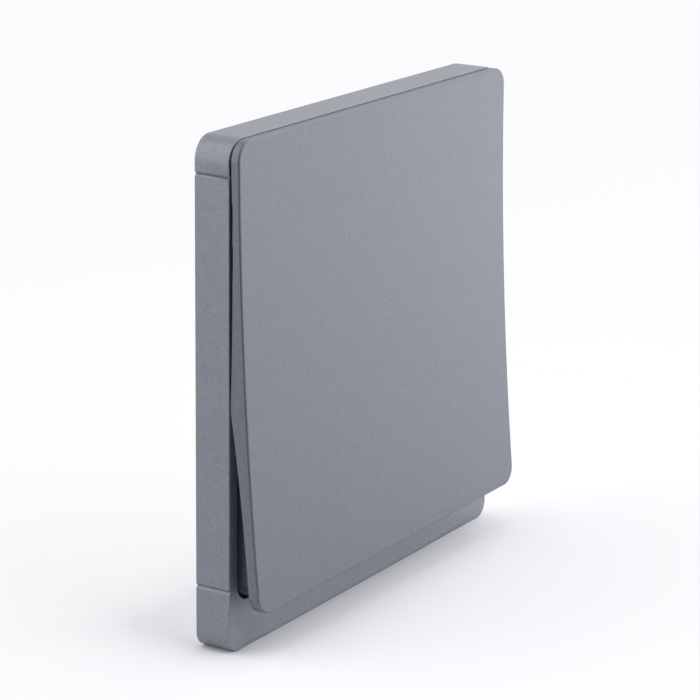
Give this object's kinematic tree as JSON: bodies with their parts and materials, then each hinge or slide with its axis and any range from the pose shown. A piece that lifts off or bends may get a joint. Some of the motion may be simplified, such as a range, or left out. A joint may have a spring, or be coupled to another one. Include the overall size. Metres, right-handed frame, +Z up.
{
  "type": "intermediate light switch",
  "caption": "Square wall light switch with a full-face hollowed rocker, a deep grooved frame with a raised lower bar, and a crossover contact set in a box behind.",
  "frame": {"origin": "centre of the square plate on the wall plane, midway between the fixing holes", "axes": "+X right along the wall, +Y into the wall, +Z up; the rocker faces -Y"},
  "size_m": [0.086, 0.0275, 0.086],
  "materials": {
    "painted_plastic": "satin dark silver metallic paint",
    "base_plastic": "matte",
    "bearing_plastic": "satin",
    "brass": "stamped, bright",
    "contact_silver": "satin silver",
    "steel": "zinc plated"
  },
  "bodies": {
    "housing": {"frame": "painted_plastic", "mounting_plate": "base_plastic", "base_housing": "base_plastic", "housing_screws": "steel", "feed_bracket_left": "brass", "feed_bracket_right": "brass", "cross_strap_a": "brass", "cross_strap_b": "brass", "fixed_contacts": "contact_silver", "terminal_feed_left": "brass", "terminal_feed_right": "brass", "terminal_out_left": "brass", "terminal_out_right": "brass", "terminal_screws": "steel"},
    "rocker": {"rocker": "painted_plastic", "dolly": "bearing_plastic", "spring_left": "steel", "spring_right": "steel"},
    "plunger_left": {"plunger_left": "bearing_plastic"},
    "plunger_right": {"plunger_right": "bearing_plastic"},
    "blade_left": {"blade_left": "brass", "moving_contacts_left": "contact_silver"},
    "blade_right": {"blade_right": "brass", "moving_contacts_right": "contact_silver"}
  },
  "joints": [
    {"name": "rocker_hinge", "type": "hinge", "parent": "housing", "child": "rocker", "pos_m": [0, -0.0035, 0], "axis": [1, 0, 0], "range_deg": [0, 6.1]},
    {"name": "blade_left_hinge", "type": "hinge", "parent": "housing", "child": "blade_left", "pos_m": [-0.009, 0.006, 0], "axis": [1, 0, 0], "range_deg": [-14, 0]},
    {"name": "blade_right_hinge", "type": "hinge", "parent": "housing", "child": "blade_right", "pos_m": [0.009, 0.006, 0], "axis": [1, 0, 0], "range_deg": [-14, 0]},
    {"name": "plunger_left_slide", "type": "slide", "parent": "rocker", "child": "plunger_left", "axis": [0, -0.9986, 0.0532], "range_m": [0, 0.0012], "stiffness_N_per_m": 500, "springref_m": -0.002, "deforming": ["spring_left"]},
    {"name": "plunger_right_slide", "type": "slide", "parent": "rocker", "child": "plunger_right", "axis": [0, -0.9986, 0.0532], "range_m": [0, 0.0012], "stiffness_N_per_m": 500, "springref_m": -0.002, "deforming": ["spring_right"]}
  ],
  "couplings": [
    {"joint": "blade_left_hinge", "follows": "rocker_hinge", "ratio": -2.295},
    {"joint": "blade_right_hinge", "follows": "rocker_hinge", "ratio": -2.295}
  ]
}
